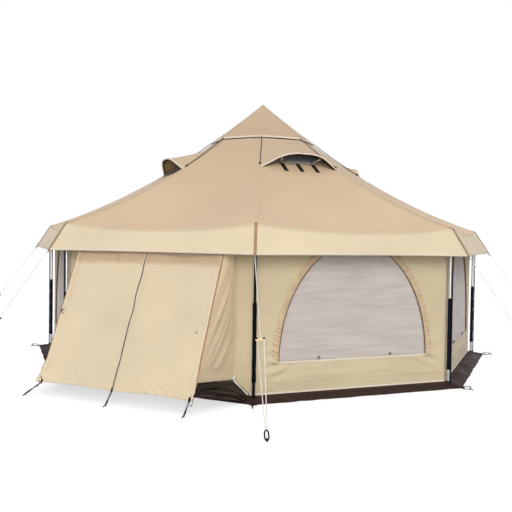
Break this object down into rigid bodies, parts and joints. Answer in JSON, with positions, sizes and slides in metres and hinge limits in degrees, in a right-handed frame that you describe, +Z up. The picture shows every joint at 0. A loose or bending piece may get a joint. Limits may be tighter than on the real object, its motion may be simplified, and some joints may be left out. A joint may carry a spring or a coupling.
{
  "type": "bell tent",
  "caption": "Octagonal canvas bell tent with centre pole, corner poles, arched curtained windows, hooded roof vents, sloping zipped door and guy lines.",
  "frame": {"origin": "on level ground under the centre pole", "axes": "+Z up; one corner, the one between the door side and a windowed side, points along -Y; +X is to the right as seen from that corner"},
  "size_m": [7.1414, 7.1333, 3.0904],
  "materials": {
    "roof_canvas": "woven cotton canvas, sand, matt",
    "valance_canvas": "woven cotton canvas, pale sand, matt",
    "wall_canvas": "woven cotton canvas, sand, matt",
    "door_canvas": "woven cotton canvas, pale sand, matt",
    "curtain_cloth": "thin pale grey curtain cloth, slightly creased",
    "mud_cloth": "dark coated cloth, slightly shiny",
    "floor_cloth": "dark coated groundsheet cloth",
    "vent_mesh": "fine blue-grey insect mesh",
    "sleeve_cloth": "dark navy woven cloth",
    "black_webbing": "black ribbed webbing",
    "tan_webbing": "tan ribbed webbing",
    "pole_steel": "bright zinc-plated tube",
    "pole_plastic": "black moulded plastic",
    "pale_plastic": "off-white moulded plastic",
    "bright_steel": "plated steel",
    "dark_steel": "black painted steel",
    "white_rope": "braided off-white rope",
    "dark_cord": "dark braided stretch cord",
    "dark_plastic": "dark moulded plastic",
    "slider_metal": "dark painted metal",
    "eyelet_brass": "rolled brass, satin",
    "runner_plastic": "pale beige moulded plastic"
  },
  "bodies": {
    "root": {"apex_pin": "bright_steel", "cap_cords": "dark_cord", "cap_toggles": "dark_plastic", "centre_pole_foot": "pole_plastic", "centre_pole_lower": "pole_steel", "centre_pole_middle": "pole_steel", "centre_pole_upper": "pole_steel", "corner_straps": "black_webbing", "door_header": "door_canvas", "door_wall": "wall_canvas", "groundsheet": "floor_cloth", "gusset_ties": "white_rope", "guy_lines": "white_rope", "guy_rings": "dark_steel", "hem_rings": "bright_steel", "mud_skirt": "mud_cloth", "peak_cap": "roof_canvas", "pegs": "bright_steel", "pole_sleeves": "sleeve_cloth", "roof_panels": "roof_canvas", "side_pole_feet": "pole_plastic", "side_pole_tips": "pale_plastic", "side_poles_lower": "pole_steel", "side_poles_upper": "pole_steel", "side_walls": "wall_canvas", "skirt_loops": "black_webbing", "valance": "valance_canvas", "valance_webbing": "tan_webbing", "vent_meshes": "vent_mesh", "vent_stays": "pale_plastic", "vent_straps": "black_webbing", "vestibule_flaps": "mud_cloth", "window_curtains": "curtain_cloth", "window_ruffles": "wall_canvas", "window_toggles": "pale_plastic"},
    "door_left": {"door_flap_left": "door_canvas", "door_eyelet_left": "eyelet_brass", "zip_tapes_left": "dark_plastic", "door_loops_left": "dark_cord"},
    "door_right": {"door_flap_right": "door_canvas", "door_eyelet_right": "eyelet_brass", "zip_tapes_right": "dark_plastic", "door_loops_right": "dark_cord"},
    "centre_zip_slider": {"centre_zip_slider": "slider_metal"},
    "side_zip_slider_left": {"side_zip_slider_left": "slider_metal"},
    "side_zip_slider_right": {"side_zip_slider_right": "slider_metal"},
    "gusset_left": {"door_gusset_left": "door_canvas"},
    "gusset_right": {"door_gusset_right": "door_canvas"},
    "vent_hood_1": {"vent_hood_1": "roof_canvas"},
    "vent_hood_2": {"vent_hood_2": "roof_canvas"},
    "vent_hood_3": {"vent_hood_3": "roof_canvas"},
    "vent_hood_4": {"vent_hood_4": "roof_canvas"},
    "guy_runner_1": {"guy_runner_1": "runner_plastic"},
    "guy_runner_2": {"guy_runner_2": "runner_plastic"},
    "guy_runner_3": {"guy_runner_3": "runner_plastic"},
    "guy_runner_4": {"guy_runner_4": "runner_plastic"},
    "guy_runner_5": {"guy_runner_5": "runner_plastic"},
    "guy_runner_6": {"guy_runner_6": "runner_plastic"},
    "guy_runner_7": {"guy_runner_7": "runner_plastic"},
    "guy_runner_8": {"guy_runner_8": "runner_plastic"}
  },
  "joints": [
    {"name": "door_left_lift", "type": "hinge", "parent": "root", "child": "door_left", "pos_m": [-0.92563, -2.23467, 1.15], "axis": [-0.9239, 0.3827, 0], "range_deg": [0, 75]},
    {"name": "door_right_lift", "type": "hinge", "parent": "root", "child": "door_right", "pos_m": [-0.92563, -2.23467, 1.15], "axis": [-0.9239, 0.3827, 0], "range_deg": [0, 75]},
    {"name": "gusset_left_swing", "type": "hinge", "parent": "root", "child": "gusset_left", "pos_m": [-1.55972, -1.80044, 0.7], "axis": [0, 0, 1], "range_deg": [0, 85]},
    {"name": "gusset_right_swing", "type": "hinge", "parent": "root", "child": "gusset_right", "pos_m": [-0.17021, -2.37599, 0.7], "axis": [0, 0, -1], "range_deg": [0, 85]},
    {"name": "centre_zip_slider_travel", "type": "slide", "parent": "door_left", "child": "centre_zip_slider", "axis": [0.1553, 0.3749, 0.914], "range_m": [0, 1.06]},
    {"name": "side_zip_slider_left_travel", "type": "slide", "parent": "door_left", "child": "side_zip_slider_left", "axis": [0.1553, 0.3749, 0.914], "range_m": [0, 1.06]},
    {"name": "side_zip_slider_right_travel", "type": "slide", "parent": "door_right", "child": "side_zip_slider_right", "axis": [0.1553, 0.3749, 0.914], "range_m": [0, 1.06]},
    {"name": "vent_hood_1_close", "type": "hinge", "parent": "root", "child": "vent_hood_1", "pos_m": [0.25257, -0.60976, 2.33351], "axis": [0.9239, 0.3827, 0], "range_deg": [0, 16.5], "deforming": ["vent_stays"]},
    {"name": "vent_hood_2_close", "type": "hinge", "parent": "root", "child": "vent_hood_2", "pos_m": [0.60976, 0.25257, 2.33351], "axis": [-0.3827, 0.9239, 0], "range_deg": [0, 16.5], "deforming": ["vent_stays"]},
    {"name": "vent_hood_3_close", "type": "hinge", "parent": "root", "child": "vent_hood_3", "pos_m": [-0.25257, 0.60976, 2.33351], "axis": [-0.9239, -0.3827, 0], "range_deg": [0, 16.5], "deforming": ["vent_stays"]},
    {"name": "vent_hood_4_close", "type": "hinge", "parent": "root", "child": "vent_hood_4", "pos_m": [-0.60976, -0.25257, 2.33351], "axis": [0.3827, -0.9239, 0], "range_deg": [0, 16.5], "deforming": ["vent_stays"]},
    {"name": "guy_runner_1_slide", "type": "slide", "parent": "root", "child": "guy_runner_1", "axis": [0.0807, -0.5965, -0.7985], "range_m": [0, 0.15]},
    {"name": "guy_runner_2_slide", "type": "slide", "parent": "root", "child": "guy_runner_2", "axis": [0.4256, -0.4256, -0.7985], "range_m": [0, 0.15]},
    {"name": "guy_runner_3_slide", "type": "slide", "parent": "root", "child": "guy_runner_3", "axis": [0.6019, 0, -0.7985], "range_m": [0, 0.15]},
    {"name": "guy_runner_4_slide", "type": "slide", "parent": "root", "child": "guy_runner_4", "axis": [0.4256, 0.4256, -0.7985], "range_m": [0, 0.15]},
    {"name": "guy_runner_5_slide", "type": "slide", "parent": "root", "child": "guy_runner_5", "axis": [0, 0.6019, -0.7985], "range_m": [0, 0.15]},
    {"name": "guy_runner_6_slide", "type": "slide", "parent": "root", "child": "guy_runner_6", "axis": [-0.4256, 0.4256, -0.7985], "range_m": [0, 0.15]},
    {"name": "guy_runner_7_slide", "type": "slide", "parent": "root", "child": "guy_runner_7", "axis": [-0.6019, 0, -0.7985], "range_m": [0, 0.15]},
    {"name": "guy_runner_8_slide", "type": "slide", "parent": "root", "child": "guy_runner_8", "axis": [-0.4256, -0.4256, -0.7985], "range_m": [0, 0.15]}
  ]
}
